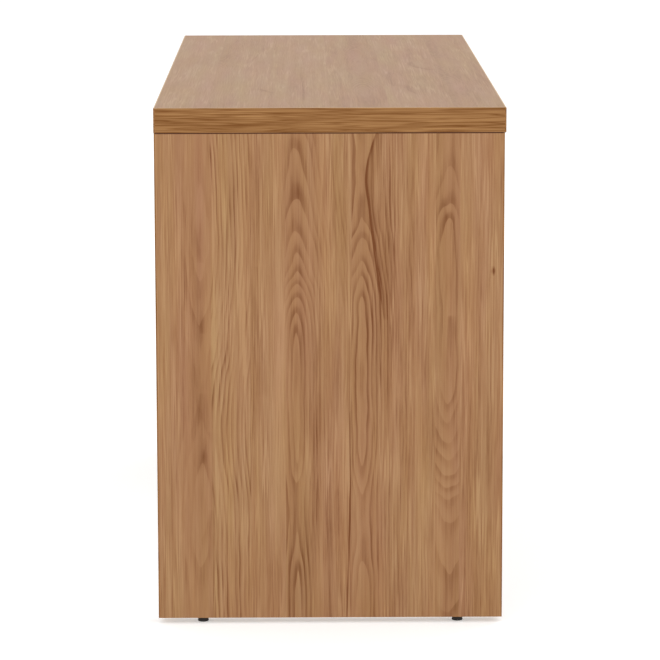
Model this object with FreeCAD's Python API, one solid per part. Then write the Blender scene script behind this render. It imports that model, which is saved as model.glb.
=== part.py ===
# Office desk: a thick banded top on two panel ends, tied together by a modesty panel.
# Cam locks and dowels join the boards, and each end stands on two screw feet.
# Lengths are in millimetres and angles in degrees. The origin is on the floor, midway along and
# midway across the desk: +X runs along it, +Y from the user's side to the back, and +Z up.

import FreeCAD, Part
import math
import os

# Whole desk
desk_length = 1300.0
desk_depth = 500.0
desk_height = 750.0

# Boards
top_thickness = 36.0
end_thickness = 36.0
modesty_thickness = 18.0
modesty_height = 300.0
modesty_setback = 40.0  # from the back edges of the end panels
end_overhang = 0.5  # how far the top stands out past each end panel
front_overhang = 2.0
back_overhang = 0.5

# Edge bands
band_thickness = 2.0
band_arris = 1.2  # rounding along the outer edges of a band

# Cams: each lies in the face of one board and grips the head of a bolt in the next board
cam_diameter = 15.0
cam_height = 12.5
cam_recess = 0.3  # the cam's face lies this far below the board's
cam_gap = 0.1  # between the cam and the wall and floor of its bore
cam_edge_distance = 34.0  # from the cam's axis to the joint
cam_bolt_depth = 9.0  # from the board's face to the bolt's axis
cam_eccentricity = 0.8
cam_lock_gap = 0.2  # between the bolt's head and the chamber's wall when locked
cam_slot_gap = 0.3  # round the neck and the head of the bolt
cam_chamber_sides = 8
cam_drive_length = 7.0
cam_drive_width = 1.4
cam_drive_depth = 2.6
cam_turn = 180.0  # from locked to open

# Bolts of the cam locks
bolt_head_diameter = 6.0
bolt_head_length = 4.4
bolt_head_reach = 1.6  # the head's end lies this far past the cam's axis
bolt_neck_diameter = 4.0
bolt_shoulder_gap = 0.7  # from the cam to the shoulder of the shank
bolt_shank_diameter = 6.0
bolt_bore_diameter = 8.0
bolt_thread_length = 11.0
bolt_sides = 12  # flats round the bolt, which is hidden in its bores

# Dowels
dowel_diameter = 8.0
dowel_flutes = 8
dowel_flute_depth = 0.4
dowel_length = 30.0
dowel_in_face = 11.0  # how deep a dowel sits in the face of a board
hole_gap = 0.05  # between a fitted piece and its hole
hole_depth_spare = 1.0  # how much deeper than its piece a blind hole is

# Places of the cam locks and dowels
front_cam_inset = 60.0  # from the front edges of the end panels
back_cam_clear = 45.0  # from the modesty panel's front face to the rear cams
modesty_lock_spacing = 64.0  # from a cam to the dowel below it

# Screw feet
foot_inset = 64.0  # from the edges of the end panels to the foot's axis
foot_height = 8.6  # from the floor to the end panels, with the foot screwed in
foot_seat_gap = 0.3  # between the pad and the end panel
pad_diameter = 16.0
pad_top_diameter = 12.6
pad_edge_bevel = 1.2
pad_grips = 16  # flats round the pad, for the fingers
pad_floor_thickness = 2.5
pad_key_hole = 4.5  # across the flats of the hexagon hole under the screw
swivel_gap = 0.1  # between the screw and the pad that turns on its end
stem_diameter = 6.0
stem_length = 24.0  # above the pad
stem_key_width = 3.0  # across the flats of the hexagon socket
stem_key_depth = 2.4
stem_bore_spare = 3.0  # from the stem's tip to the end of its bore
thread_gap = 0.05  # between the stem and the insert
insert_diameter = 10.0
insert_length = 15.0
insert_recess = 0.2
insert_splines = 8
insert_spline_depth = 0.5

overrun = 1.0  # how far a cutting tool passes the surface that it cuts

# Heights and edges that follow
top_underside = desk_height - top_thickness
end_outer = desk_length / 2 - end_overhang
end_inner = end_outer - end_thickness
end_middle = (end_outer + end_inner) / 2
end_front = -desk_depth / 2 + front_overhang
end_back = desk_depth / 2 - back_overhang
modesty_back = end_back - modesty_setback
modesty_front = modesty_back - modesty_thickness
modesty_bottom = top_underside - modesty_height
front_cam_y = end_front + front_cam_inset
back_cam_y = modesty_front - back_cam_clear
modesty_cam_level = modesty_bottom + (modesty_height + modesty_lock_spacing) / 2
sides = {"left": -1, "right": 1}

X = FreeCAD.Vector(1, 0, 0)
Y = FreeCAD.Vector(0, 1, 0)
Z = FreeCAD.Vector(0, 0, 1)


def box(low, high):
    """A box between two corners, given as (x, y, z)."""
    size = [b - a for a, b in zip(low, high)]
    return Part.makeBox(*size, FreeCAD.Vector(*low))


def edges_along(shape, axis, along=True):
    """The straight edges of a shape that run along an axis either way, or all of its other edges."""
    return [e for e in shape.Edges if math.isclose(abs(e.tangentAt(0).dot(axis)), 1) == along]


def polygon(count, inner_radius, height=0, centre_y=0):
    """A regular polygon about Z, whose flats lie at the inner radius."""
    corner_radius = inner_radius / math.cos(math.pi / count)
    angles = [2 * math.pi * step / count for step in range(count)]
    points = [
        FreeCAD.Vector(corner_radius * math.cos(a), centre_y + corner_radius * math.sin(a), height)
        for a in angles
    ]
    return Part.makePolygon(points + points[:1])


def star(teeth, outer_radius, depth, height=0):
    """The outline of a fluted or splined rod about Z."""
    points = []
    for step in range(2 * teeth):
        radius = outer_radius - depth * (step % 2)
        angle = math.pi * step / teeth
        points.append(FreeCAD.Vector(radius * math.cos(angle), radius * math.sin(angle), height))
    return Part.makePolygon(points + points[:1])


def prism(outline, height):
    """An outline drawn up along Z by a height."""
    return Part.Face(outline).extrude(Z * height)


def faceted(count, rings):
    """A solid with flat sides round Z. Each ring is the (inner radius, height) of a polygon."""
    outlines = [polygon(count, radius, height) for radius, height in rings]
    corners = [[v.Point for v in outline.OrderedVertexes] for outline in outlines]
    faces = [Part.Face(outlines[0]), Part.Face(outlines[-1])]
    for low, high in zip(corners, corners[1:]):
        for a in range(count):
            b = (a + 1) % count
            faces.append(Part.Face(Part.makePolygon([low[a], low[b], high[b], high[a], low[a]])))
    return Part.makeSolid(Part.makeShell(faces))


def rod(radius, start, direction, length):
    """A plain cylinder, used for holes and bores."""
    return Part.makeCylinder(radius, length, start, direction)


def placed(shape, point, normal, toward):
    """A copy of a shape made about Z, with Z turned to the normal and Y to the toward direction."""
    rotation = FreeCAD.Rotation(toward.cross(normal), toward, normal, "ZYX")
    copy = shape.copy()
    copy.Placement = FreeCAD.Placement(point, rotation).multiply(copy.Placement)
    return copy


def top_pieces():
    """The top's board and its four edge bands, cut from one eased slab."""
    half_length = desk_length / 2
    half_depth = desk_depth / 2
    slab = box((-half_length, -half_depth, top_underside), (half_length, half_depth, desk_height))
    slab = slab.makeChamfer(band_arris, edges_along(slab, Z))
    slab = slab.makeFillet(band_arris, edges_along(slab, Z, False))
    core_x = half_length - band_thickness
    core_y = half_depth - band_thickness

    def strip(x_low, x_high, y_low, y_high):
        return slab.common(box((x_low, y_low, top_underside), (x_high, y_high, desk_height)))

    return {
        "top_board": strip(-core_x, core_x, -core_y, core_y),
        "top_band_front": strip(-half_length, half_length, -half_depth, -core_y),
        "top_band_back": strip(-half_length, half_length, core_y, half_depth),
        "top_band_left": strip(-half_length, -core_x, -core_y, core_y),
        "top_band_right": strip(core_x, half_length, -core_y, core_y),
    }


def end_pieces(name, side):
    """One panel end: its board, and a band down its front and back edges."""
    low_x, high_x = sorted((side * end_inner, side * end_outer))
    slab = box((low_x, end_front, foot_height), (high_x, end_back, top_underside))
    slab = slab.makeFillet(band_arris, edges_along(slab, Z))
    core_front = end_front + band_thickness
    core_back = end_back - band_thickness

    def strip(y_low, y_high):
        return slab.common(box((low_x, y_low, foot_height), (high_x, y_high, top_underside)))

    return {
        f"{name}_end_board": strip(core_front, core_back),
        f"{name}_end_band_front": strip(end_front, core_front),
        f"{name}_end_band_back": strip(core_back, end_back),
    }


def modesty_pieces():
    """The modesty panel's board and the band along its lower edge."""
    low = (-end_inner, modesty_front, modesty_bottom)
    band_top = modesty_bottom + band_thickness
    board = box((-end_inner, modesty_front, band_top), (end_inner, modesty_back, top_underside))
    band = box(low, (end_inner, modesty_back, band_top))
    lower = [e for e in edges_along(band, X) if math.isclose(e.CenterOfMass.z, modesty_bottom)]
    return {"modesty_board": board, "modesty_band_bottom": band.makeFillet(band_arris, lower)}


def lock_places():
    """The cam locks, each as a name, the cam's board, the bolt's board, the cam's centre on its
    board's face, the way that the face looks and the way that the bolt points."""
    places = []
    for name, side in sides.items():
        board = f"{name}_end_board"
        for end, y in (("front", front_cam_y), ("back", back_cam_y)):
            point = FreeCAD.Vector(side * end_inner, y, top_underside - cam_edge_distance)
            places.append((f"{name}_{end}", board, "top_board", point, X * -side, Z))
        point = FreeCAD.Vector(side * (end_inner - cam_edge_distance), modesty_front, modesty_cam_level)
        places.append((f"{name}_modesty", "modesty_board", board, point, Y * -1, X * side))
    return places


def cam():
    """A cam about Z with the board's face at zero. The bolt comes in along +Y when the cam is locked."""
    face = -cam_recess
    foot = face - cam_height
    cam_radius = cam_diameter / 2
    head_radius = bolt_head_diameter / 2
    shoulder = bolt_head_length - bolt_head_reach
    chamber_radius = math.hypot(head_radius + cam_eccentricity, shoulder) + cam_lock_gap
    mouth_half = head_radius + cam_slot_gap
    slot_half = bolt_neck_diameter / 2 + cam_slot_gap
    roof = mouth_half - cam_bolt_depth
    run_out = math.degrees(math.asin(slot_half / (chamber_radius - cam_eccentricity)))

    body = rod(cam_radius, Z * foot, Z, cam_height)
    outline = polygon(cam_chamber_sides, chamber_radius, foot - overrun, -cam_eccentricity)
    chamber = prism(outline, roof - foot + overrun)
    mouth = box((-mouth_half, -cam_radius - overrun, foot - overrun), (mouth_half, 0, roof))
    mouth.rotate(FreeCAD.Vector(), Z, 180 - cam_turn)
    slot_floor = Z * (-cam_bolt_depth - slot_half)
    slot_angle = cam_turn + run_out
    slot = Part.makeCylinder(cam_radius + overrun, 2 * slot_half, slot_floor, Z, slot_angle)
    slot.rotate(FreeCAD.Vector(), Z, 90 - cam_turn)
    body = body.cut([chamber, mouth, slot])
    half_length = cam_drive_length / 2
    half_width = cam_drive_width / 2
    for half_x, half_y in ((half_length, half_width), (half_width, half_length)):
        body = body.cut(box((-half_x, -half_y, face - cam_drive_depth), (half_x, half_y, overrun)))
    return body


def cam_bolt():
    """A bolt along Y, from its head in a cam at the origin to its thread in the next board."""
    flat_share = math.cos(math.pi / bolt_sides)
    head_radius = flat_share * bolt_head_diameter / 2
    neck_radius = flat_share * bolt_neck_diameter / 2
    shank_radius = flat_share * bolt_shank_diameter / 2
    head_top = bolt_head_length - bolt_head_reach
    shoulder = cam_diameter / 2 + bolt_shoulder_gap
    rings = [
        (head_radius, -bolt_head_reach),
        (head_radius, head_top),
        (neck_radius, head_top),
        (neck_radius, shoulder),
        (shank_radius, shoulder),
        (shank_radius, cam_edge_distance + bolt_thread_length),
    ]
    bolt = faceted(bolt_sides, rings)
    bolt.rotate(FreeCAD.Vector(), X, -90)
    bolt.translate(Z * -cam_bolt_depth)
    return bolt


def lock_bores(point, normal, toward):
    """What a cam lock cuts away, from the cam's board and then from the bolt's board."""
    cam_bore_depth = overrun + cam_recess + cam_height + cam_gap
    cam_bore = rod(cam_diameter / 2 + cam_gap, point + normal * overrun, normal * -1, cam_bore_depth)
    axis = point - normal * cam_bolt_depth
    bolt_bore = rod(bolt_bore_diameter / 2, axis, toward, cam_edge_distance + overrun)
    entry = axis + toward * (cam_edge_distance - overrun)
    thread_depth = overrun + bolt_thread_length + hole_depth_spare
    thread_hole = rod(bolt_shank_diameter / 2 + hole_gap, entry, toward, thread_depth)
    return [cam_bore, bolt_bore], [thread_hole]


def dowel_places():
    """The dowels, each as a point on the joint, the way into the board whose face it enters, a
    direction square to that, that board's name and the name of the board whose edge it enters."""
    places = []
    modesty_middle = (modesty_front + modesty_back) / 2
    for name, side in sides.items():
        board = f"{name}_end_board"
        top_joint = FreeCAD.Vector(side * end_middle, (front_cam_y + back_cam_y) / 2, top_underside)
        places.append((top_joint, Z, Y, "top_board", board))
        level = modesty_cam_level - modesty_lock_spacing
        end_joint = FreeCAD.Vector(side * end_inner, modesty_middle, level)
        places.append((end_joint, X * side, Y, board, "modesty_board"))
    return places


def dowel():
    """A fluted dowel about Z, with the joint at zero and the face board above it."""
    outline = star(dowel_flutes, dowel_diameter / 2, dowel_flute_depth, dowel_in_face - dowel_length)
    return prism(outline, dowel_length)


def dowel_hole(point, toward):
    """The hole that a dowel needs in both its boards, as one straight bore across the joint."""
    start = point + toward * (dowel_in_face - dowel_length - hole_depth_spare)
    return rod(dowel_diameter / 2 + hole_gap, start, toward, dowel_length + 2 * hole_depth_spare)


def foot_places():
    """The feet, each as a name, the board that it carries and its point on the floor."""
    return [
        (f"{name}_{end}", f"{name}_end_board", FreeCAD.Vector(side * end_middle, y, 0))
        for name, side in sides.items()
        for end, y in (("front", end_front + foot_inset), ("back", end_back - foot_inset))
    ]


def foot_pad():
    """A foot's pad: a tapered cap with grips, a socket for the end of the screw and a key hole below."""
    top = foot_height - foot_seat_gap
    radius = pad_diameter / 2
    rings = [(radius - pad_edge_bevel, 0), (radius, pad_edge_bevel), (pad_top_diameter / 2, top)]
    socket = rod(stem_diameter / 2 + swivel_gap, Z * pad_floor_thickness, Z, foot_height)
    key_hole = prism(polygon(6, pad_key_hole / 2, -overrun), pad_floor_thickness + 2 * overrun)
    return faceted(pad_grips, rings).cut([socket, key_hole])


def foot_stem():
    """A foot's screw: a plain rod that turns in the pad, with a hexagon socket in its lower end."""
    bottom = pad_floor_thickness + swivel_gap
    top = foot_height - foot_seat_gap + stem_length
    socket = prism(polygon(6, stem_key_width / 2, bottom - overrun), stem_key_depth + overrun)
    return rod(stem_diameter / 2, Z * bottom, Z, top - bottom).cut(socket)


def foot_insert():
    """The splined insert in the end panel, with a plain bore for the screw."""
    bottom = foot_height + insert_recess
    body = prism(star(insert_splines, insert_diameter / 2, insert_spline_depth, bottom), insert_length)
    bore_radius = stem_diameter / 2 + thread_gap
    return body.cut(rod(bore_radius, Z * (bottom - overrun), Z, insert_length + 2 * overrun))


def foot_bore(floor_point):
    """The bore in the end panel for one insert and for the stem beyond it."""
    start = floor_point + Z * (foot_height - overrun)
    return rod(insert_diameter / 2 + hole_gap, start, Z, overrun + stem_length + stem_bore_spare)


def build():
    """Every sub-part by name, with the boards bored for what they hold."""
    nodes = top_pieces()
    for name, side in sides.items():
        nodes.update(end_pieces(name, side))
    nodes.update(modesty_pieces())
    cuts = {name: [] for name in nodes}

    bolts = []
    for name, cam_board, bolt_board, point, normal, toward in lock_places():
        nodes[f"cam_{name}"] = placed(cam(), point, normal, toward)
        bolts.append(placed(cam_bolt(), point, normal, toward))
        bores, thread_holes = lock_bores(point, normal, toward)
        cuts[cam_board] += bores
        cuts[bolt_board] += thread_holes
    nodes["cam_bolts"] = Part.makeCompound(bolts)

    dowels = []
    for point, toward, across, face_board, edge_board in dowel_places():
        dowels.append(placed(dowel(), point, toward, across))
        for board in (face_board, edge_board):
            cuts[board].append(dowel_hole(point, toward))
    nodes["wood_dowels"] = Part.makeCompound(dowels)

    inserts = []
    for name, board, point in foot_places():
        nodes[f"foot_pad_{name}"] = placed(foot_pad(), point, Z, Y)
        nodes[f"foot_stem_{name}"] = placed(foot_stem(), point, Z, Y)
        inserts.append(placed(foot_insert(), point, Z, Y))
        cuts[board].append(foot_bore(point))
    nodes["foot_inserts"] = Part.makeCompound(inserts)

    for name, tools in cuts.items():
        if tools:
            nodes[name] = nodes[name].cut(tools)
    return nodes


def export(nodes):
    """Writes one STEP file for each sub-part."""
    os.makedirs("parts", exist_ok=True)
    for name, shape in nodes.items():
        shape.exportStep(f"parts/{name}.step")


export(build())
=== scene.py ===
"""An office desk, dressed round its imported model.

The frame holds every rigid part where it belongs, so this script gives the boards their laminates,
the edges their bands and the hardware its plating, puts an arrow on each cam, and replaces the plain
screw feet with moulded pads and threaded screws. Pieces are measured in metres, and materials and
names that end in _mm in millimetres. +X runs along the desk, +Y from the user's side to the back
and +Z up, from the floor.
"""

import logging
import math
from collections.abc import Callable, Sequence
from dataclasses import dataclass
from enum import Enum

import bmesh
import bpy
from mathutils import Matrix, Vector


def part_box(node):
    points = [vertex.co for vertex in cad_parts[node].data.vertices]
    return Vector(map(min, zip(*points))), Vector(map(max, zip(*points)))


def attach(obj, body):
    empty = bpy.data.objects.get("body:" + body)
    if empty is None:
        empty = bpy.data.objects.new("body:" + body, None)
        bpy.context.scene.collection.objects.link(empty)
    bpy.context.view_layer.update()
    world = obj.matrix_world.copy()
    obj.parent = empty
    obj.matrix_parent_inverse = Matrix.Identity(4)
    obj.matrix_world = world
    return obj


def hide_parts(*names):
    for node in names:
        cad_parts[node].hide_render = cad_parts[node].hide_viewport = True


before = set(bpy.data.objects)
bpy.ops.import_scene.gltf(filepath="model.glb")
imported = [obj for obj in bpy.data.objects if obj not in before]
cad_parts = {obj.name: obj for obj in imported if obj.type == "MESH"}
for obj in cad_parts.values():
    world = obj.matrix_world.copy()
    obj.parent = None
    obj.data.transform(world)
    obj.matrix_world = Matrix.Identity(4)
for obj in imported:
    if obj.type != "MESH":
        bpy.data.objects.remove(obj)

log = logging.getLogger("office_desk")

MM = 0.001
FAR_MM = 10000.0
# The heights of the top's lower and upper faces
UNDERSIDE = 0.714
UPPER = 0.75
Triple = tuple[float, float, float]
Colour = Triple
Points = tuple[tuple[float, float], ...]
Piece = bpy.types.Object


def from_srgb(*values: float) -> Colour:
    """A colour in linear light.

    Args:
        *values: The red, green and blue that a screen shows, from 0 to 255.

    Returns:
        The three linear values, from 0 to 1.
    """
    straight_end, slope, offset, power, white = 0.04045, 12.92, 0.055, 2.4, 255
    shares = [value / white for value in values]
    return tuple(s / slope if s <= straight_end else ((s + offset) / (1 + offset)) ** power for s in shares)


class Axis(Enum):
    """The three directions of the desk, numbered as a vector's parts are."""

    X = 0
    Y = 1
    Z = 2


@dataclass(frozen=True)
class Signal:
    """A number or vector that changes over a surface: one output in a material's node tree."""

    graph: "Graph"
    socket: bpy.types.NodeSocket

    def __add__(self, other: "Value") -> "Signal":
        """The sum."""
        return self.graph.math("ADD", self, other)

    __radd__ = __add__

    def __sub__(self, other: "Value") -> "Signal":
        """The difference."""
        return self.graph.math("SUBTRACT", self, other)

    def __rsub__(self, other: float) -> "Signal":
        """The difference from a plain number."""
        return self.graph.math("SUBTRACT", other, self)

    def __mul__(self, other: "Value") -> "Signal":
        """The product."""
        return self.graph.math("MULTIPLY", self, other)

    __rmul__ = __mul__

    def __truediv__(self, other: "Value") -> "Signal":
        """The quotient."""
        return self.graph.math("DIVIDE", self, other)

    def __abs__(self) -> "Signal":
        """The size without its sign."""
        return self.graph.math("ABSOLUTE", self)

    def power(self, exponent: float) -> "Signal":
        """This to a power."""
        return self.graph.math("POWER", self, exponent)

    def fraction(self) -> "Signal":
        """What is left past the last whole number."""
        return self.graph.math("FRACT", self)

    def floor(self) -> "Signal":
        """The last whole number."""
        return self.graph.math("FLOOR", self)

    def above(self, other: "Value") -> "Signal":
        """One where this is more, and zero elsewhere."""
        return self.graph.math("GREATER_THAN", self, other)

    def below(self, other: "Value") -> "Signal":
        """One where this is less, and zero elsewhere."""
        return self.graph.math("LESS_THAN", self, other)

    def limited(self) -> "Signal":
        """This, kept between zero and one."""
        return self.graph.math("MINIMUM", self.graph.math("MAXIMUM", self, 0), 1)

    def chances(self) -> tuple["Signal", ...]:
        """Three unrelated numbers from 0 to 1 that depend on this."""
        made = self.graph.node("ShaderNodeTexWhiteNoise", noise_dimensions="1D")
        self.graph.feed(made.inputs["W"], self)
        split = self.graph.node("ShaderNodeSeparateColor")
        self.graph.tree.links.new(made.outputs["Color"], split.inputs[0])
        return tuple(Signal(self.graph, output) for output in split.outputs)

    def curve(self, points: Points) -> "Signal":
        """This, looked up in a smooth curve.

        Args:
            points: Pairs of value and result, in rising order of value.

        Returns:
            The result.
        """
        low, high = points[0][0], points[-1][0]
        tall = max(abs(result) for _, result in points)
        made = self.graph.node("ShaderNodeFloatCurve")
        line = made.mapping.curves[0]
        while len(line.points) < len(points):
            line.points.new(0.5, 0.5)
        for point, (place, result) in zip(line.points, points):
            point.location = ((place - low) / (high - low), result / tall)
        made.mapping.clip_min_y = -1.0
        made.mapping.extend = "HORIZONTAL"
        made.mapping.update()
        self.graph.feed(made.inputs["Value"], (self - low) / (high - low))
        return Signal(self.graph, made.outputs[0]) * tall


Value = Signal | float
Paint = Signal | Colour


class Graph:
    """The node tree of a material or a world, written as sums of signals."""

    def __init__(self, name: str, world: bool = False) -> None:
        """Makes a material with a bare Principled shader, or a world with a bare Background one.

        Args:
            name: Its name.
            world: Whether it is a world.
        """
        self.owner = (bpy.data.worlds if world else bpy.data.materials).new(name)
        self.owner.use_nodes = True
        self.tree = self.owner.node_tree
        self.tree.nodes.clear()
        self.shader = self.node("ShaderNodeBackground" if world else "ShaderNodeBsdfPrincipled")
        output = self.node("ShaderNodeOutputWorld" if world else "ShaderNodeOutputMaterial")
        self.tree.links.new(self.shader.outputs[0], output.inputs["Surface"])

    def node(self, kind: str, **settings: object) -> bpy.types.Node:
        """Adds a node.

        Args:
            kind: Blender's name for the type of node.
            **settings: The node's own properties.

        Returns:
            The node.
        """
        made = self.tree.nodes.new(kind)
        for key, value in settings.items():
            setattr(made, key, value)
        return made

    def feed(self, socket: bpy.types.NodeSocket, value: object) -> None:
        """Sets an input, from a signal by a link and from anything else as a fixed value.

        Args:
            socket: The input.
            value: A signal, a number or a tuple.
        """
        if isinstance(value, Signal):
            self.tree.links.new(value.socket, socket)
        else:
            socket.default_value = value

    def math(self, operation: str, *values: Value) -> Signal:
        """A Math node.

        Args:
            operation: Blender's name for the operation.
            *values: Its inputs.

        Returns:
            The result.
        """
        made = self.node("ShaderNodeMath", operation=operation)
        for socket, value in zip(made.inputs, values):
            self.feed(socket, value)
        return Signal(self, made.outputs[0])

    def place_mm(self) -> tuple[Signal, ...]:
        """The point on the piece, as its x, y and z in millimetres."""
        coordinates = self.node("ShaderNodeTexCoord")
        split = self.node("ShaderNodeSeparateXYZ")
        self.tree.links.new(coordinates.outputs["Object"], split.inputs[0])
        return tuple(Signal(self, output) / MM for output in split.outputs)

    def seen_directly(self) -> Signal:
        """One for rays from the camera, a mirror or glass, and zero for light."""
        path = self.node("ShaderNodeLightPath")
        camera, mirror, glass = (
            Signal(self, path.outputs[f"Is {kind} Ray"]) for kind in ("Camera", "Glossy", "Transmission")
        )
        return self.math("MAXIMUM", self.math("MAXIMUM", camera, mirror), glass)

    def vector(self, *parts: Value) -> Signal:
        """Three numbers as one vector."""
        made = self.node("ShaderNodeCombineXYZ")
        for socket, part in zip(made.inputs, parts):
            self.feed(socket, part)
        return Signal(self, made.outputs[0])

    def blend(self, share: Value, first: Paint, second: Paint, kind: str = "MIX") -> Signal:
        """A colour part of the way from one to another.

        Args:
            share: Zero for the first colour and one for the second.
            first: A colour.
            second: Another colour.
            kind: Blender's name for the way that the second is laid on the first.

        Returns:
            The mixed colour.
        """
        made = self.node("ShaderNodeMix", data_type="RGBA", blend_type=kind)
        self.feed(made.inputs[0], share)
        colour_inputs = [socket for socket in made.inputs if socket.type == "RGBA"]
        for socket, colour in zip(colour_inputs, (first, second)):
            self.feed(socket, colour if isinstance(colour, Signal) else (*colour, 1.0))
        return Signal(self, next(socket for socket in made.outputs if socket.type == "RGBA"))

    def raised(self, height_mm: Signal) -> None:
        """Raises the surface by a height in millimetres, as a bump in the shader."""
        made = self.node("ShaderNodeBump")
        self.feed(made.inputs["Distance"], MM)
        self.feed(made.inputs["Height"], height_mm)
        self.tree.links.new(made.outputs["Normal"], self.shader.inputs["Normal"])

    def surface(self, **values: object) -> None:
        """Sets the shader's own inputs, by their names in small letters and underscores."""
        sockets = {socket.name.lower().replace(" ", "_"): socket for socket in self.shader.inputs}
        for key, value in values.items():
            self.feed(sockets[key], value)


@dataclass(frozen=True)
class Layer:
    """A layer of soft noise over a material.

    x, y and z are the distances between its crests along three coordinates, and offset shifts it
    along the third one. detail is how many finer layers are added, each as strong as rough says.
    """

    x: float
    y: float = 1.0
    z: float = 1.0
    weight: float = 1.0
    offset: float = 0.0
    detail: float = 0.0
    rough: float = 0.5

    def at(self, x: Signal, y: Value = 0.0, z: Value = 0.0, shift: Value = 0.0) -> Signal:
        """The layer's noise.

        Args:
            x: The first coordinate.
            y: The second one.
            z: The third one, often a seed.
            shift: What is added to the first coordinate, in crests.

        Returns:
            The noise, mostly within half its weight of zero.
        """
        graph = x.graph
        place = graph.vector(x / self.x + shift, y / self.y, z / self.z + self.offset)
        made = graph.node("ShaderNodeTexNoise")
        values = {"Vector": place, "Scale": 1.0, "Detail": self.detail, "Roughness": self.rough}
        for name, value in values.items():
            graph.feed(made.inputs[name], value)
        return (Signal(graph, made.outputs["Fac"]) - 0.5) * self.weight


@dataclass(frozen=True)
class Figure:
    """How the year rings lie under a stave.

    A ring shows where the distance to the pith is a whole number of spacings, so the lines arch
    where the pith's depth changes along the stave and run straight where it doesn't.
    """

    centre: Value
    depth: Value
    spacing: Value
    contrast: Value
    tone: Value
    seed: Value


@dataclass(frozen=True)
class Stave:
    """One glued stave of the photographed laminate.

    start and centre are measured across the panel from its back edge, and each depth is a pair of
    a place down from the worktop and the distance that the pith lies below the surface there.
    """

    start: float
    centre: float
    spacing: float
    contrast: float
    tone: float
    depths: Points


@dataclass(frozen=True)
class Flame:
    """A dark or pale streak along the grain, sharp on one side and fading on the other.

    path pairs a place along the grain with one across it, and strengths with how dark it is there,
    below zero where it is pale. A width below zero fades towards the panel's back edge.
    """

    path: Points
    width: float
    strengths: Points

    def darkness(self, across: Signal, along: Signal) -> Signal:
        """How dark the streak makes the wood.

        Args:
            across: The place across the grain.
            along: The place along the grain.

        Returns:
            Zero away from the streak and up to its strength in it.
        """
        from_edge = (across - along.curve(self.path)) / self.width
        return from_edge.curve(FLAME_PROFILE) * along.curve(self.strengths)


# How dark a flame is from just before its sharp edge to where it has faded
FLAME_PROFILE = ((-0.3, 0.0), (-0.1, 0.15), (0.06, 0.85), (0.2, 1.0), (0.55, 0.6), (1.0, 0.15), (1.5, 0.0))


@dataclass(frozen=True)
class Knot:
    """A small dark knot, by its centre and its width."""

    across: float
    along: float
    width: float
    length_share: float = 1.8
    strength: float = 3.0

    def darkness(self, across: Signal, along: Signal) -> Signal:
        """See Flame."""
        sideways = (across - self.across) / self.width
        lengthways = (along - self.along) / (self.length_share * self.width)
        return (1.0 - (sideways * sideways + lengthways * lengthways).power(0.5)).limited() * self.strength


@dataclass(frozen=True)
class ChosenStaves:
    """The staves of a laminate, set one by one."""

    staves: tuple[Stave, ...]
    marks: tuple[Flame | Knot, ...] = ()

    def figure(self, across: Signal, along: Signal) -> Figure:
        """The figure at each point of a panel.

        Args:
            across: The place across the grain.
            along: The place along the grain.

        Returns:
            The figure's signals.
        """
        starts = (-FAR_MM, *(stave.start for stave in self.staves[1:]), FAR_MM)
        sums: list[Value] = [0.0] * 6
        for index, stave in enumerate(self.staves):
            inside = across.above(starts[index]) * across.below(starts[index + 1])
            depth = along.curve(stave.depths)
            parts = (stave.centre, depth, stave.spacing, stave.contrast, stave.tone, float(index))
            sums = [inside.graph.math("MULTIPLY_ADD", inside, *pair) for pair in zip(parts, sums)]
        return Figure(*sums)


@dataclass(frozen=True)
class RandomStaves:
    """The staves of a laminate, of about one width and with figures that come from a seed.

    A pair that ends in _range holds the least value and how much chance adds to it.
    """

    width: float
    seed: float
    contrast: float = 1.0
    marks: tuple[Flame | Knot, ...] = ()
    unevenness: Layer = Layer(160, weight=30)
    depth: Layer = Layer(330, 1 / 3.1, detail=1)
    depth_range: tuple[float, float] = (60.0, 130.0)
    least_depth: float = 4.0
    spacing_range: tuple[float, float] = (3.4, 3.6)
    contrast_range: tuple[float, float] = (0.8, 0.6)
    centre_spread: float = 2.6
    tone_spread: float = 0.3
    seed_steps: tuple[float, float] = (13.7, 31.3)

    def figure(self, across: Signal, along: Signal) -> Figure:
        """See ChosenStaves."""
        number = ((across + self.unevenness.at(across, self.seed)) / self.width).floor()
        first, second = (number + self.seed * step for step in self.seed_steps)
        side, kind, shade = first.chances()
        pace, strength, _ = second.chances()
        deepest = self.depth_range[0] + self.depth_range[1] * kind
        return Figure(
            centre=(number + 0.5 + (side - 0.5) * self.centre_spread) * self.width,
            depth=abs(self.depth.at(along, number, self.seed)) * deepest + self.least_depth,
            spacing=self.spacing_range[0] + self.spacing_range[1] * pace * kind,
            contrast=(self.contrast_range[0] + self.contrast_range[1] * strength) * self.contrast,
            tone=(shade - 0.5) * self.tone_spread,
            seed=number,
        )


# How dark a year ring is from its sharp inner edge outwards
RING_PROFILE = ((0.0, 0.75), (0.1, 1.0), (0.28, 0.85), (0.48, 0.38), (0.7, 0.1), (0.88, 0.0), (1.0, 0.6))


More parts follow.
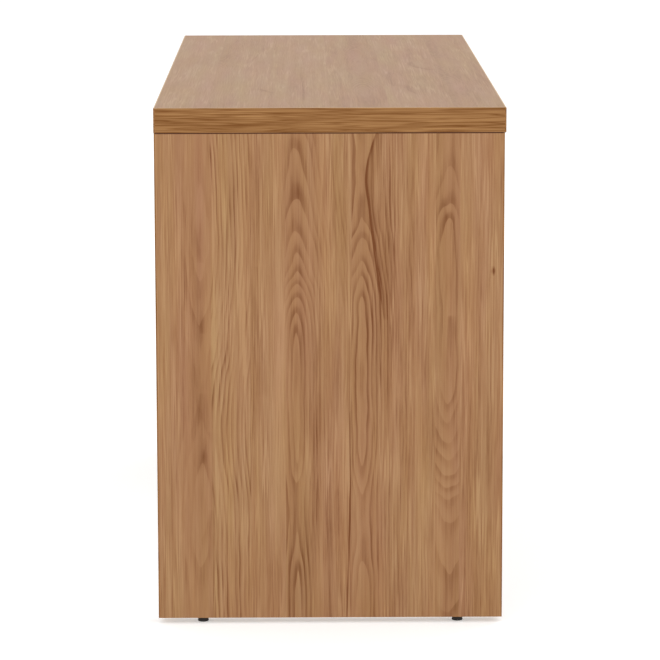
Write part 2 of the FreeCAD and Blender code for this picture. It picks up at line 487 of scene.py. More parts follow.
@dataclass(frozen=True)
class YearRings:
    """The dark latewood lines that a stave's figure draws, arched near its middle."""

    seed_step: float = 7.3
    wander: Layer = Layer(210, weight=14, offset=1.7, detail=1)
    wobble: Layer = Layer(30, 180, weight=5, detail=2, rough=0.4)
    ripple: Layer = Layer(12, 40, weight=3, offset=5.3)
    arch_power: float = 1.7
    bunching: Layer = Layer(1 / 0.37, weight=1.3, offset=4.1, detail=1)
    single: Layer = Layer(1 / 0.73, 400)
    single_level: float = 0.8
    patches: Layer = Layer(24, 150, weight=2.2, offset=2.9, detail=1)
    patch_level: float = 0.75
    arch_reach: float = 24.0
    arch_strength: float = 0.75
    side_strength: float = 0.4

    def darkness(self, figure: Figure, across: Signal, along: Signal) -> Signal:
        """How dark the latewood lines are.

        Args:
            figure: The figure under the surface.
            across: The place across the grain.
            along: The place along the grain.

        Returns:
            Zero in pale earlywood, up to about the figure's contrast in the darkest lines.
        """
        seed = figure.seed * self.seed_step
        wander = self.wander.at(along, seed) + self.wobble.at(across, along, seed)
        offset = abs(across - figure.centre + wander)
        depth = abs(figure.depth + self.ripple.at(across, along, seed))
        radius = (offset.power(self.arch_power) + depth.power(self.arch_power)).power(1 / self.arch_power)
        turns = radius / figure.spacing
        turns = turns + self.bunching.at(turns, seed)
        single = self.single.at(turns.floor(), along, seed) + self.single_level
        patches = self.patches.at(across, along, seed) + self.patch_level
        nearness = (1.0 + (offset / self.arch_reach).power(2.0)).power(-1.0)
        arching = nearness * self.arch_strength + self.side_strength
        sharp = turns.fraction().curve(RING_PROFILE)
        return sharp * (single * patches).limited() * arching * figure.contrast


@dataclass(frozen=True)
class EdgeLine:
    """A thin line of another colour along a level edge, up from it, or down where reach_mm is below zero.

    The line's share of the colour falls from strength at the edge to none at its reach.
    """

    edge_mm: float
    reach_mm: float
    colour: Colour
    strength: float = 2.0

    def over(self, colour: Signal, height: Signal) -> Signal:
        """The line laid over a colour.

        Args:
            colour: The colour.
            height: How high each point is.

        Returns:
            The mixed colour.
        """
        share = (1.0 - (height - self.edge_mm) / self.reach_mm) * self.strength
        return height.graph.blend(share.limited(), colour, self.colour)


# Painted lines where the top meets the boards: painted shade and glue darkening a board's upper edge under
# the top, painted shade and a glue seam under the top's bands, and a painted highlight on their upper arris
JOINT_SHADE_AND_GLUE = EdgeLine(UNDERSIDE / MM, -1.2, from_srgb(84, 42, 8))
SEAM_SHADE_AND_GLUE = EdgeLine(UNDERSIDE / MM, 1.2, from_srgb(78, 38, 12))
ARRIS_HIGHLIGHT = EdgeLine(UPPER / MM, -0.5, from_srgb(214, 182, 140), strength=1.0)


@dataclass(frozen=True)
class Laminate:
    """A satin wood-grained laminate on particle board.

    Its faces lie across face_axis, in metres. The staves are measured from across_zero, backwards
    where turned is -1, and down from along_zero. Within straight_mm of an arch's middle the fibre
    and the pores are faint. tint multiplies the colour, and its green and blue drift.
    """

    name: str
    staves: ChosenStaves | RandomStaves
    across_axis: Axis
    along_axis: Axis
    face_axis: Axis
    faces: tuple[float, float]
    across_zero: float = 0.0
    along_zero: float = 0.0
    turned: float = 1.0
    lines: tuple[EdgeLine, ...] = ()
    light: Colour = from_srgb(183, 142, 101)
    middle: Colour = from_srgb(163, 119, 80)
    dark: Colour = from_srgb(114, 63, 20)
    tint: Colour = (1.005, 0.965, 0.932)
    green_drift: float = 0.18
    blue_drift: float = 0.3
    rosy: Layer = Layer(35, 400, offset=3.7, detail=2)
    golden: Layer = Layer(22, 260, offset=6.1, detail=2)
    strength: float = 0.96
    seed_step: float = 5.9
    rings: YearRings = YearRings()
    ring_weight: float = 0.38
    fibre: Layer = Layer(2.2, 60, detail=3, rough=0.6)
    fibre_at_arch: float = 0.6
    fibre_gain: float = 0.35
    pore_lines: Layer = Layer(4, 240, weight=14, offset=9.4, detail=1)
    pore_patches: Layer = Layer(18, 130, weight=3, offset=4.6, detail=1)
    pore_level: float = 0.45
    pore_weight: float = 0.7
    straight_mm: float = 40.0
    streak: Layer = Layer(11, 600, weight=0.7, offset=1.3, detail=2)
    cloud: Layer = Layer(50, 260, weight=0.5, offset=8.1, detail=2)
    mark_sway: float = 16.0
    mark_weight: float = 0.3
    level: float = -0.12
    roughness: float = 0.42
    dark_roughness: float = 0.1
    specular: float = 0.3
    emboss_mm: float = -0.05
    laminate_mm: float = 0.5
    chip_light: Colour = from_srgb(205, 172, 124)
    chip_dark: Colour = from_srgb(139, 100, 61)
    flakes: Layer = Layer(2.4, 2.4, 1.2, weight=1.6, detail=3, rough=0.7)
    clumps: Layer = Layer(7, 7, 3, weight=0.8, detail=1)

    def grain(self, across: Signal, along: Signal) -> tuple[Signal, Signal]:
        """How dark the grain is.

        Args:
            across: The place across the grain.
            along: The place along the grain.

        Returns:
            The darkness, half in the middle of its range, and a seed that each stave has to itself.
        """
        figure = self.staves.figure(across, along)
        seed = figure.seed * self.seed_step
        place = (across, along, seed)
        straight = (abs(across - figure.centre) / self.straight_mm).limited()
        lines = (1.0 - abs(self.pore_lines.at(*place))).limited()
        pores = lines * (self.pore_patches.at(*place) + self.pore_level).limited() * self.pore_weight
        fibre = self.fibre.at(*place) * (straight * self.fibre_gain + self.fibre_at_arch)
        cloud = self.cloud.at(*place)
        dark = self.rings.darkness(figure, across, along) * self.ring_weight + fibre - pores * straight
        dark = dark + self.streak.at(*place) + cloud + figure.tone + self.level
        for mark in self.staves.marks:
            dark = dark + mark.darkness(across + cloud * self.mark_sway, along) * self.mark_weight
        return dark * self.strength + 0.5, seed

    def inside(self, place: Sequence[Signal]) -> Signal:
        """One between the laminates of the two faces and zero on them."""
        low, high = self.faces
        from_middle = abs(place[self.face_axis.value] - (low + high) / 2 / MM)
        return from_middle.below((high - low) / 2 / MM - self.laminate_mm)

    def colour(self, place: Sequence[Signal]) -> tuple[Signal, Signal]:
        """The laminate's colour and how dark its grain is.

        Args:
            place: The point on the board.

        Returns:
            The colour, and the darkness that shapes the sheen and the emboss.
        """
        across = (place[self.across_axis.value] - self.across_zero) * self.turned
        along = self.along_zero - place[self.along_axis.value]
        dark, seed = self.grain(across, along)
        graph = dark.graph
        low = graph.blend((dark * 2.0).limited(), self.light, self.middle)
        wood = graph.blend((dark * 2.0 - 1.0).limited(), low, self.dark)
        red, green, blue = self.tint
        rosy = self.rosy.at(across, along, seed) * self.green_drift
        golden = self.golden.at(across, along, seed) * self.blue_drift
        wood = graph.blend(1.0, wood, graph.vector(red, green + rosy, blue + golden), "MULTIPLY")
        for line in self.lines:
            wood = line.over(wood, place[Axis.Z.value])
        return wood, dark

    def build(self) -> bpy.types.Material:
        """Makes the material."""
        graph = Graph(self.name)
        place = graph.place_mm()
        wood, dark = self.colour(place)
        chips = (self.flakes.at(*place) + self.clumps.at(*place) + 0.5).limited()
        core = graph.blend(chips, self.chip_light, self.chip_dark)
        graph.surface(
            base_color=graph.blend(self.inside(place), wood, core),
            roughness=dark * self.dark_roughness + self.roughness,
            specular_ior_level=self.specular,
        )
        graph.raised(dark * self.emboss_mm)
        return graph.owner


@dataclass(frozen=True)
class Banding:
    """A plastic edge band with straight printed grain along its length."""

    name: str
    along_axis: Axis
    lines: tuple[EdgeLine, ...] = ()
    light: Colour = from_srgb(173, 125, 74)
    dark: Colour = from_srgb(118, 68, 4)
    drift: Layer = Layer(90, 20, 20, weight=0.5, detail=1)
    fine: Layer = Layer(2.2, 2.2, 70, detail=2, rough=0.6)
    broad: Layer = Layer(6, 6, 190, weight=0.8, detail=1)
    threads: Layer = Layer(4, 4, 110, weight=8, offset=4.7, detail=1)
    thread_weight: float = 0.6
    level: float = 0.22
    roughness: float = 0.45
    specular: float = 0.3
    emboss_mm: float = -0.04

    def build(self) -> bpy.types.Material:
        """Makes the material."""
        graph = Graph(self.name)
        place = list(graph.place_mm())
        height = place[Axis.Z.value]
        along = place.pop(self.along_axis.value)
        drift = self.drift.at(along, *place)
        fine, broad, threads = (
            layer.at(*place, along, shift=drift) for layer in (self.fine, self.broad, self.threads)
        )
        lines = (1.0 - abs(threads)).limited() * self.thread_weight
        share = (fine + broad + lines + self.level).limited()
        colour = graph.blend(share, self.light, self.dark)
        for line in self.lines:
            colour = line.over(colour, height)
        graph.surface(base_color=colour, roughness=self.roughness, specular_ior_level=self.specular)
        graph.raised(share * self.emboss_mm)
        return graph.owner


@dataclass(frozen=True)
class Finish:
    """A plain material that mottles between two colours, and the mottle may change the roughness.

    relief, where there is one, roughens the surface and raises it by relief_mm. glow is the light
    that the material gives off as the camera, mirrors and glass see it.
    """

    name: str
    light: Colour
    dark: Colour
    mottle: Layer
    roughness: float
    metallic: float = 0.0
    mottle_roughness: float = 0.0
    relief: Layer | None = None
    relief_mm: float = 0.1
    glow: float = 0.0

    def build(self) -> bpy.types.Material:
        """Makes the material."""
        graph = Graph(self.name)
        place = graph.place_mm()
        mottle = self.mottle.at(*place)
        colour = graph.blend((mottle + 0.5).limited(), self.light, self.dark)
        graph.surface(base_color=colour, metallic=self.metallic, roughness=self.roughness)
        if self.relief:
            relief = self.relief.at(*place)
            graph.surface(roughness=mottle * self.mottle_roughness + relief + self.roughness)
            graph.raised(relief * self.relief_mm)
        if self.glow:
            seen = graph.seen_directly()
            graph.surface(emission_color=(self.glow, self.glow, self.glow, 1.0), emission_strength=seen)
        return graph.owner


class Plating(Enum):
    """The platings of the desk's steel and zinc fittings, each as a colour and a roughness."""

    NICKEL = (from_srgb(196, 194, 188), 0.34)
    ZINC = (from_srgb(188, 192, 196), 0.3)
    YELLOW_ZINC = (from_srgb(205, 190, 138), 0.32)

    def build(self, name: str) -> bpy.types.Material:
        """Makes the material of a plated fitting, with faint tool marks and tarnish.

        Args:
            name: The material's name.

        Returns:
            The material.
        """
        colour, roughness = self.value
        tarnished_share = 0.72
        tarnished = tuple(tarnished_share * part for part in colour)
        return Finish(
            name, colour, tarnished, Layer(5, 5, 5, weight=1.4, detail=3), roughness, metallic=1.0,
            mottle_roughness=0.143, relief=Layer(0.3, 0.3, 0.3, weight=0.1, detail=2),
        ).build()


BEECH = Finish(
    "dowel_beech", from_srgb(224, 190, 146), from_srgb(186, 140, 94),
    Layer(1.2, 1.2, 9, weight=1.5, detail=3), roughness=0.7,
)
FOOT_PLASTIC = Finish(
    "foot_plastic", from_srgb(30, 26, 24), from_srgb(14, 12, 11), Layer(3, 3, 1.5, detail=2),
    roughness=0.5, relief=Layer(0.25, 0.25, 0.25, weight=0.2, detail=2),
)
PALE_FLOOR = Finish(
    "pale_floor", (0.93, 0.93, 0.93), (0.9, 0.9, 0.9), Layer(900, 900, FAR_MM, detail=2),
    roughness=0.9, glow=0.4,
)

# The long dark flame through the photographed end's sixth stave
LONG_FLAME = ((0, 314), (55, 300), (110, 304), (170, 312), (240, 323), (280, 329))

# The photographed end's staves, from its back edge to its front edge
LEFT_END_STAVES = ChosenStaves((
    Stave(0, -46, 4.4, 1, -0.02, ((0, 30), (712, 36))),
    Stave(20, 64, 11, 0.7, -0.02, (
        (0, 18), (60, 15), (115, 9), (148, 4), (180, 9), (230, 16), (282, 24), (400, 33), (450, 28),
        (480, 22), (560, 17), (640, 24), (712, 30),
    )),
    Stave(79, 34, 5.6, 3, -0.09, ((0, 34), (150, 22), (300, 40), (430, 60), (560, 48), (712, 40))),
    Stave(135, 252, 4, 0.75, -0.03, ((0, 26), (250, 34), (480, 22), (712, 30))),
    Stave(185, 200, 5.8, 1.1, 0.03, (
        (0, 55), (20, 52), (90, 46), (130, 40.4), (165, 34.8), (200, 29), (220, 23), (240, 17.4),
        (262, 11.6), (296, 5.8), (330, 4.4), (400, 4.6), (470, 7), (540, 14), (590, 12), (650, 6), (712, 4.4),
    )),
    Stave(280, 296, 5.4, 1.3, 0, (
        (0, 34), (60, 35), (120, 33), (150, 28), (190, 21), (222, 14), (262, 10), (430, 9),
        (480, 12), (560, 19), (650, 14), (712, 11),
    )),
    Stave(400, 418, 7, 0.85, 0.02, (
        (0, 39), (60, 34), (100, 27), (137, 20), (200, 18), (268, 19), (310, 18), (346, 17), (400, 24),
        (450, 35), (472, 42), (497, 49), (517, 56), (533, 63), (576, 70), (650, 77), (712, 86),
    )),
    Stave(435, 330, 4, 0.9, 0.03, ((0, 36), (200, 26), (420, 40), (712, 30))),
), (
    Flame(LONG_FLAME, 4.6, ((0, 1), (60, 1.7), (110, 1.8), (160, 1.9), (230, 1.3), (270, 0))),
    Flame(LONG_FLAME, 16, ((0, 0.4), (60, 0.8), (110, 1), (150, 0.7), (230, 0.5), (270, 0))),
    Flame(((0, 81), (350, 83), (712, 84)), 6, ((0, -0.3), (100, -0.7), (400, -0.9), (712, -0.5))),
    Flame(((0, 112), (200, 116), (350, 122)), 14, ((0, -0.2), (90, -0.6), (250, -0.7), (350, 0))),
    Flame(((60, 170), (300, 172), (620, 166)), 13, ((60, 0), (150, -0.7), (400, -0.8), (620, -0.1))),
    Flame(((240, 266), (400, 262), (520, 256)), 16, ((240, 0), (300, -0.5), (420, -0.5), (520, 0))),
    Flame(((420, 277), (560, 276), (712, 272)), 3, ((400, 0), (460, 1.6), (600, 2.2), (712, 1.8))),
    Flame(((262, 417), (300, 416), (346, 412)), 12, ((262, 0), (270, 1), (300, 0.9), (346, 0.2))),
    Flame(((60, 408), (100, 412), (137, 426)), -10, ((60, 0), (80, 0.3), (130, 0.3), (140, 0))),
    Flame(((190, 137), (280, 139), (370, 145)), 24, ((190, 0), (250, 0.4), (330, 0.4), (380, 0))),
    Flame(((108, 54), (150, 61), (184, 68)), -14, ((90, 0), (150, 0.4), (176, 0.5), (186, 0))),
    Flame(((222, 51), (255, 55), (284, 62)), 14, ((205, 0), (250, 0.4), (276, 0.5), (288, 0))),
    Flame(((380, 61), (410, 55), (436, 48)), 14, ((374, 0), (395, 0.4), (425, 0.3), (445, 0))),
    Flame(((436, 73), (460, 68), (486, 58)), 14, ((430, 0), (445, 0.4), (470, 0.3), (495, 0))),
    Flame(((550, 74), (570, 70), (590, 63)), 12, ((545, 0), (560, 0.4), (580, 0.3), (602, 0))),
    Flame(((90, 41), (160, 42), (250, 40)), 5, ((90, 0), (140, 0.5), (220, 0.7), (255, 0))),
    Knot(482, 198, 4.5),
))

# The top's clearest streaks, by the place towards its left end and the place towards its back
TOP_MARKS = (
    Flame(((50, 43), (300, 40), (545, 38)), -5, ((50, 0), (120, 0.9), (500, 1), (545, 0))),
    Flame(((-440, 104), (-260, 108), (-86, 125)), 5, ((-440, 0), (-380, 0.9), (-120, 0.8), (-86, 0))),
    Flame(((-480, 158), (-86, 160)), 18, ((-480, 0), (-380, 0.8), (-180, 0.7), (-86, 0))),
    Flame(((100, -94), (220, -92), (330, -97)), -16, ((100, 0), (160, 1.2), (260, 1.2), (330, 0))),
    Flame(((-90, -133), (0, -140), (60, -163)), -14, ((-90, 0), (-50, 1.2), (30, 1.4), (60, 0))),
    Flame(((320, -118), (400, -120), (470, -134)), -10, ((320, 0), (360, 1.2), (440, 0.9), (470, 0))),
    Flame(((360, 102), (400, 92), (430, 78)), 12, ((360, 0), (380, 1.3), (415, 1.1), (430, 0))),
)


class Side(Enum):
    """The two ends of the desk, by the sign of their X."""

    LEFT = -1
    RIGHT = 1


class Depth(Enum):
    """The user's side and the far side."""

    FRONT = "front"
    BACK = "back"


Ring = list[Vector]
Outline = Callable[[float], float]


def join(shape: bmesh.types.BMesh, *rings: Sequence[bmesh.types.BMVert]) -> None:
    """Makes the skin from each ring of a mesh to the next.

    Args:
        shape: The mesh.
        *rings: The corners of closed rings, equally many in each.
    """
    for low, high in zip(rings, rings[1:]):
        for step in range(len(low)):
            after = (step + 1) % len(low)
            shape.faces.new((low[step], low[after], high[after], high[step]))


def joined_rings(name: str, rings: Sequence[Ring], capped: bool) -> Piece:
    """A mesh drawn through closed rings of equally many points.

    Args:
        name: The piece's name.
        rings: The rings, from one end of the skin to the other.
        capped: Whether the first and last rings are filled, or else joined to each other.

    Returns:
        The piece.
    """
    shape = bmesh.new()
    corners = [[shape.verts.new(point) for point in ring] for ring in rings]
    join(shape, *corners)
    if capped:
        shape.faces.new(corners[0])
        shape.faces.new(corners[-1])
    else:
        join(shape, corners[-1], corners[0])
    return finished_mesh(name, shape)


def finished_mesh(name: str, shape: bmesh.types.BMesh, crease: float = 32.0) -> Piece:
    """Welds a mesh, turns its faces outwards, smooths it and puts it in the scene.

    Args:
        name: The piece's name.
        shape: The mesh, which is used up.
        crease: The angle in degrees past which an edge stays sharp.

    Returns:
        The piece.
    """
    weld, sliver = 0.00002, 0.000002
    bmesh.ops.remove_doubles(shape, verts=shape.verts, dist=weld)
    bmesh.ops.dissolve_degenerate(shape, edges=shape.edges, dist=sliver)
    bmesh.ops.recalc_face_normals(shape, faces=shape.faces)
    for face in shape.faces:
        face.smooth = True
    for edge in shape.edges:
        edge.smooth = edge.is_manifold and edge.calc_face_angle() < math.radians(crease)
    mesh = bpy.data.meshes.new(name)
    shape.to_mesh(mesh)
    shape.free()
    return placed(name, mesh)


def placed(name: str, data: bpy.types.ID) -> Piece:
    """Puts an object with a mesh, a lamp or a camera in the scene."""
    thing = bpy.data.objects.new(name, data)
    bpy.context.scene.collection.objects.link(thing)
    return thing


def dress(material: bpy.types.Material, *nodes: str) -> None:
    """Gives nodes that are carried over from the CAD model their finish.

    Args:
        material: The finish.
        *nodes: The nodes' names.
    """
    for node in nodes:
        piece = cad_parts[node]
        piece.data.materials.clear()
        piece.data.materials.append(material)
        log.info("%s has %s", node, material.name)


def seat(piece: Piece, material: bpy.types.Material, body: str, slot: str, *nodes: str) -> None:
    """Finishes a new piece and joins it to the frame.

    Args:
        piece: The piece, already in its place.
        material: Its finish.
        body: The body that it moves with.
        slot: Not used.
        *nodes: The CAD nodes that it stands for.
    """
    piece.data.materials.append(material)
    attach(piece, body)
    if nodes:
        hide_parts(*nodes)
    log.info("%s has %s", piece.name, material.name)


@dataclass
class Worktop:
    """The top board and the four bands round its edges."""

    underside: float = UNDERSIDE
    upper: float = UPPER

    def build(self) -> None:
        """Dresses the top."""
        staves = RandomStaves(width=88.0, seed=3.0, contrast=0.6, marks=TOP_MARKS)
        board = Laminate(
            "top_laminate", staves, Axis.Y, Axis.X, Axis.Z, (self.underside, self.upper),
            strength=0.42, tint=(0.997, 1.0, 0.926), green_drift=0.32, blue_drift=0.5,
        )
        dress(board.build(), "top_board")
        # The bands get the painted shade and glue seam along their lower edge and the painted highlight on
        # their upper arris
        along = Banding("band_along_top", Axis.X, (SEAM_SHADE_AND_GLUE, ARRIS_HIGHLIGHT))
        across = Banding("band_across_top", Axis.Y, (SEAM_SHADE_AND_GLUE, ARRIS_HIGHLIGHT))
        dress(along.build(), "top_band_front", "top_band_back")
        dress(across.build(), "top_band_left", "top_band_right")


@dataclass
class PanelEnd:
    """One full-depth end panel and the bands down its front and back edges."""

    side: Side
    inner: float = 0.6135
    outer: float = 0.6495
    back: float = 0.2495
    top: float = UNDERSIDE

    def build(self) -> None:
        """Dresses the end."""
        name = self.side.name.lower()
        low, high = sorted((self.side.value * self.inner, self.side.value * self.outer))
        staves = LEFT_END_STAVES if self.side is Side.LEFT else RandomStaves(width=82.0, seed=7.0)
        # The board's upper edge gets painted shade and glue darkening where it meets the top
        board = Laminate(
            f"{name}_end_laminate", staves, Axis.Y, Axis.Z, Axis.X, (low, high),
            across_zero=self.back / MM, along_zero=self.top / MM, turned=-1.0, lines=(JOINT_SHADE_AND_GLUE,),
        )
        band = Banding(f"{name}_end_band", Axis.Z)
        dress(board.build(), f"{name}_end_board")
        dress(band.build(), *(f"{name}_end_band_{depth.value}" for depth in Depth))


@dataclass
class ModestyPanel:
    """The panel between the ends, with its grain lengthwise, and the band along its lower edge."""

    front: float = 0.1915
    back: float = 0.2095
    top: float = UNDERSIDE

    def build(self) -> None:
        """Dresses the modesty panel."""
        staves = RandomStaves(width=90.0, seed=11.0)
        board = Laminate(
            "modesty_laminate", staves, Axis.Z, Axis.X, Axis.Y, (self.front, self.back),
            across_zero=self.top / MM,
        )
        dress(board.build(), "modesty_board")
        dress(Banding("modesty_band", Axis.X).build(), "modesty_band_bottom")


@dataclass
class Fastenings:
    """The cams with their raised arrows, and their bolts and the dowels, hidden in the joints.

    An arrow points to its cam's mouth: away from the bolt when it is locked, and at it when open.
    Its corners are places sideways and towards its tip, from a middle at arrow_middle from the axis.
    """

    arrow_corners: Points = ((-0.0016, -0.00135), (0.0016, -0.00135), (0.0, 0.00135))
    arrow_middle: float = 0.00545
    arrow_height: float = 0.0002
    arrow_bevel_share: float = 0.72

    def arrow(self, name: str, centre: Vector, outward: Vector, toward_bolt: Vector) -> Piece:
        """The raised arrow on a cam.

        Args:
            name: The piece's name.
            centre: The middle of the cam's face.
            outward: The way that the face looks.
            toward_bolt: The way from the cam's axis to its bolt.

        Returns:
            The piece.
        """
        levels = ((1.0, -self.arrow_height), (1.0, 0.0), (self.arrow_bevel_share, self.arrow_height))
        to_desk = Matrix((outward.cross(toward_bolt), -toward_bolt, outward)).transposed()
        rings = [
            [
                centre + to_desk @ Vector((across * share, self.arrow_middle + along * share, height))
                for across, along in self.arrow_corners
            ]
            for share, height in levels
        ]
        return joined_rings(name, rings, capped=True)

    def cam(self, side: Side, place: str, finish: bpy.types.Material) -> None:
        """Dresses a cam and puts its arrow on it.

        Args:
            side: The end that the cam is at.
            place: Its place there.
            finish: Its plating.
        """
        end = side.name.lower()
        node = f"cam_{end}_{place}"
        low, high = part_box(node)
        centre = (low + high) / 2
        if place == "modesty":
            outward, toward_bolt = Vector((0, -1, 0)), Vector((side.value, 0, 0))
            centre.y = low.y
        else:
            outward, toward_bolt = Vector((-side.value, 0, 0)), Vector((0, 0, 1))
            centre.x = min(low.x, high.x, key=abs)
        arrow = self.arrow(f"cam_arrow_{end}_{place}", centre, outward, toward_bolt)
        dress(finish, node)
        seat(arrow, finish, node, "cam_metal")

    def build(self) -> None:
        """Makes the arrows and dresses the fastenings."""
        nickel = Plating.NICKEL.build("cam_nickel")
        dress(Plating.ZINC.build("bolt_zinc"), "cam_bolts")
        dress(BEECH.build(), "wood_dowels")
        for side in Side:
            for place in ("front", "back", "modesty"):
                self.cam(side, place, nickel)


def circle(radius: float) -> Outline:
    """An outline of one radius at every angle."""
    return lambda angle: radius


def hexagon(across_flats: float) -> Outline:
    """An outline of a hexagon, by the distance across its flats."""
    sixth = math.pi / 3
    return lambda angle: across_flats / 2 / math.cos((angle + sixth / 2) % sixth - sixth / 2)


def ribbed(radius: float, depth: float, ribs: int) -> Outline:
    """An outline with rounded ribs that reach a radius."""
    return lambda angle: radius - depth * (0.5 - 0.5 * math.cos(ribs * angle)) ** 2


def ring(height: float, outline: Outline, steps: int) -> Ring:
    """The points of an outline round the Z axis, at a height."""
    angles = [2 * math.pi * step / steps for step in range(steps)]
    return [Vector((outline(a) * math.cos(a), outline(a) * math.sin(a), height)) for a in angles]


@dataclass
class ScrewFeet:
    """The four feet: a ribbed pad that turns on the end of a threaded screw in a splined insert.

    Heights are from the floor. pad_profile has the height, the radius and the grips' depth, up the
    pad's outside. thread has the share of the pitch and whether it is the crest, through one turn.
    """

    pad_profile: tuple[Triple, ...] = (
        (0.0, 0.0068, 0.0), (0.00036, 0.00764, 0.000105), (0.0012, 0.008, 0.00035),
        (0.00264, 0.00779, 0.00035), (0.0076, 0.0063, 0.000245), (0.00809, 0.00602, 0.0),
        (0.0083, 0.0056, 0.0),
    )
    pad_floor: float = 0.0025
    ribs: int = 30
    key_hole: float = 0.0045
    socket_radius: float = 0.0031
    screw_radius: float = 0.003
    thread_root: float = 0.0024
    thread_pitch: float = 0.001
    thread: tuple[tuple[float, bool], ...] = ((0.0, False), (0.12, False), (0.5, True), (0.62, True))
    thread_crease: float = 25.0
    screw_bottom: float = 0.0026
    screw_top: float = 0.0323
    screw_socket: float = 0.003
    screw_socket_depth: float = 0.0024
    ring_steps: int = 180
    thread_steps: int = 36

    def pad(self, name: str) -> Piece:
        """The moulded pad.

        Args:
            name: The piece's name.

        Returns:
            The piece.
        """
        top = self.pad_profile[-1][0]
        socket, key = circle(self.socket_radius), hexagon(self.key_hole)
        levels = [(height, ribbed(radius, depth, self.ribs)) for height, radius, depth in self.pad_profile]
        levels += [(top, socket), (self.pad_floor, socket), (self.pad_floor, key), (0.0, key)]
        rings = [ring(height, outline, self.ring_steps) for height, outline in levels]
        return joined_rings(name, rings, capped=False)

    def thread_line(self, step: int) -> Ring:
        """The points up the thread after some steps of a turn, tapered off at the screw's ends.

        Args:
            step: How many steps the thread has turned and risen.

        Returns:
            The points, several of them at one place beyond each end.
        """
        turned = step / self.thread_steps
        angle = 2 * math.pi * turned
        points = []
        for turn in range(-1, math.ceil((self.screw_top - self.screw_bottom) / self.thread_pitch) + 1):
            for share, crest in self.thread:
                rise = (turn + share + turned) * self.thread_pitch
                height = min(max(self.screw_bottom + rise, self.screw_bottom), self.screw_top)
                from_end = min(height - self.screw_bottom, self.screw_top - height)
                radius = min(self.screw_radius if crest else self.thread_root, self.thread_root + from_end)
                points.append(Vector((radius * math.cos(angle), radius * math.sin(angle), height)))
        return points

    def screw(self, name: str) -> Piece:
        """The threaded screw, with a hexagon socket in its lower end.

        Args:
            name: The piece's name.

        Returns:
            The piece.
        """
        shape = bmesh.new()
        steps = self.thread_steps
        lines = [[shape.verts.new(point) for point in self.thread_line(step)] for step in range(steps + 1)]
        for left, right in zip(lines, lines[1:]):
            for row in range(len(left) - 1):
                shape.faces.new((left[row], right[row], right[row + 1], left[row + 1]))
        bottom, socket_end = self.screw_bottom, self.screw_bottom + self.screw_socket_depth
        root, socket = circle(self.thread_root), hexagon(self.screw_socket)
        levels = ((bottom, root), (bottom, socket), (socket_end, socket), (self.screw_top, root))
        rings = [[shape.verts.new(point) for point in ring(*level, steps)] for level in levels]
        join(shape, *rings[:3])
        shape.faces.new(rings[2])
        shape.faces.new(rings[3])
        return finished_mesh(name, shape, self.thread_crease)

    def build(self) -> None:
        """Makes and dresses the feet."""
        plastic, zinc = FOOT_PLASTIC.build(), Plating.ZINC.build("screw_zinc")
        dress(Plating.YELLOW_ZINC.build("insert_zinc"), "foot_inserts")
        for side in Side:
            for depth in Depth:
                place = f"{side.name.lower()}_{depth.value}"
                pad_node, screw_node = f"foot_pad_{place}", f"foot_stem_{place}"
                low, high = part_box(pad_node)
                centre = (low + high) / 2
                centre.z = low.z
                pad, screw = self.pad(f"moulded_pad_{place}"), self.screw(f"foot_screw_{place}")
                for piece in (pad, screw):
                    piece.data.transform(Matrix.Translation(centre))
                seat(pad, plastic, pad_node, "foot_plastic", pad_node)
                seat(screw, zinc, screw_node, "stem_metal", screw_node)


@dataclass
class Lamp:
    """A square soft lamp that shines at a point."""

    name: str
    place: Triple
    size: float
    power: float
    target: Triple = (0.0, 0.0, 0.4)

    def build(self) -> None:
        """Puts the lamp in the scene."""
        light = bpy.data.lights.new(self.name, "AREA")
        light.shape = "SQUARE"
        light.size = self.size
        light.energy = self.power
        lamp = placed(self.name, light)
        lamp.location = self.place
        toward = Vector(self.target) - Vector(self.place)
        lamp.rotation_euler = toward.to_track_quat("-Z", "Y").to_euler()


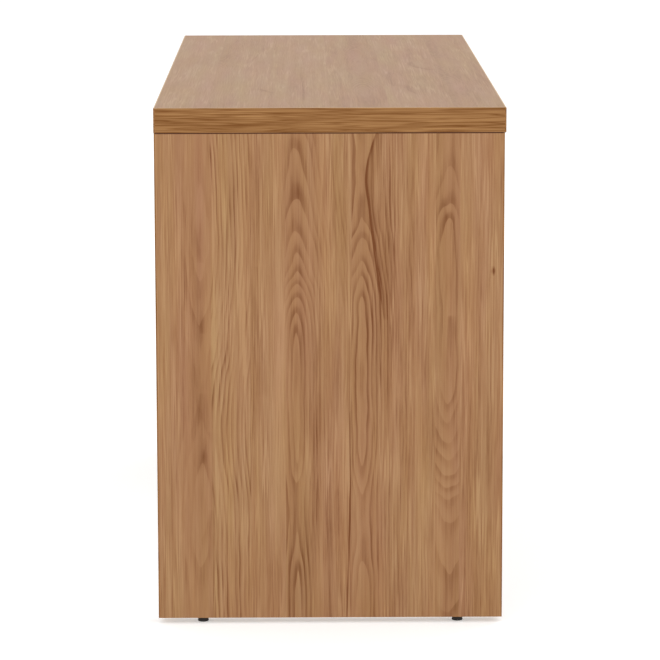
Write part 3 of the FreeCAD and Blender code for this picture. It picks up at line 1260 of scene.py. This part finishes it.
@dataclass
class PhotoCamera:
    """The camera where the photograph was taken, off the left end and above the worktop."""

    place: Triple = (-5.3190, 0.0400, 1.2215)
    lens_mm: float = 180.74
    sensor_mm: float = 36.0
    pitch: float = 9.604
    yaw: float = 0.485
    roll: float = 0.115

    def build(self) -> None:
        """Puts the camera in the scene and makes it the one that is used."""
        data = bpy.data.cameras.new("photo_camera")
        data.lens = self.lens_mm
        data.sensor_width = self.sensor_mm
        camera = placed("photo_camera", data)
        camera.matrix_world = (
            Matrix.Translation(self.place)
            @ Matrix.Rotation(math.radians(-90 - self.yaw), 4, "Z")
            @ Matrix.Rotation(math.radians(90 - self.pitch), 4, "X")
            @ Matrix.Rotation(math.radians(-self.roll), 4, "Z")
        )
        bpy.context.scene.camera = camera


@dataclass
class Studio:
    """A pale floor, a white surround and plain soft light."""

    floor_reach: float = 40.0
    surround: float = 0.74
    lamps: tuple[Lamp, ...] = (
        Lamp("key_lamp", (-4.2, 2.6, 3.2), 2.6, 48.0),
        Lamp("fill_lamp", (-4.0, -3.0, 2.4), 2.6, 24.0),
        Lamp("far_lamp", (3.6, -3.2, 3.4), 3.0, 70.0),
    )

    def light_world(self) -> None:
        """Makes the world white where it is seen and a plain soft light elsewhere."""
        graph = Graph("studio", world=True)
        strength = graph.seen_directly() * (1.0 - self.surround) + self.surround
        graph.surface(color=(1.0, 1.0, 1.0, 1.0), strength=strength)
        bpy.context.scene.world = graph.owner

    def lay_floor(self) -> None:
        """Lays the floor, which looks near white where nothing shades it."""
        reach = self.floor_reach
        corners = [(-reach, -reach, 0), (reach, -reach, 0), (reach, reach, 0), (-reach, reach, 0)]
        mesh = bpy.data.meshes.new("floor")
        mesh.from_pydata(corners, [], [(0, 1, 2, 3)])
        mesh.materials.append(PALE_FLOOR.build())
        placed("floor", mesh)

    def build(self) -> None:
        """Sets up the studio."""
        bpy.context.scene.view_settings.view_transform = "Standard"
        self.light_world()
        self.lay_floor()
        for lamp in self.lamps:
            lamp.build()


def main() -> None:
    """Builds the desk's looks and its studio, one sub-assembly at a time."""
    logging.basicConfig(level=logging.INFO, format="%(name)s: %(message)s")
    ends = (PanelEnd(side) for side in Side)
    for part in (Worktop(), *ends, ModestyPanel(), Fastenings(), ScrewFeet()):
        part.build()
    Studio().build()
    PhotoCamera().build()


if __name__ == "__main__":
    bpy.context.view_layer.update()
    main()
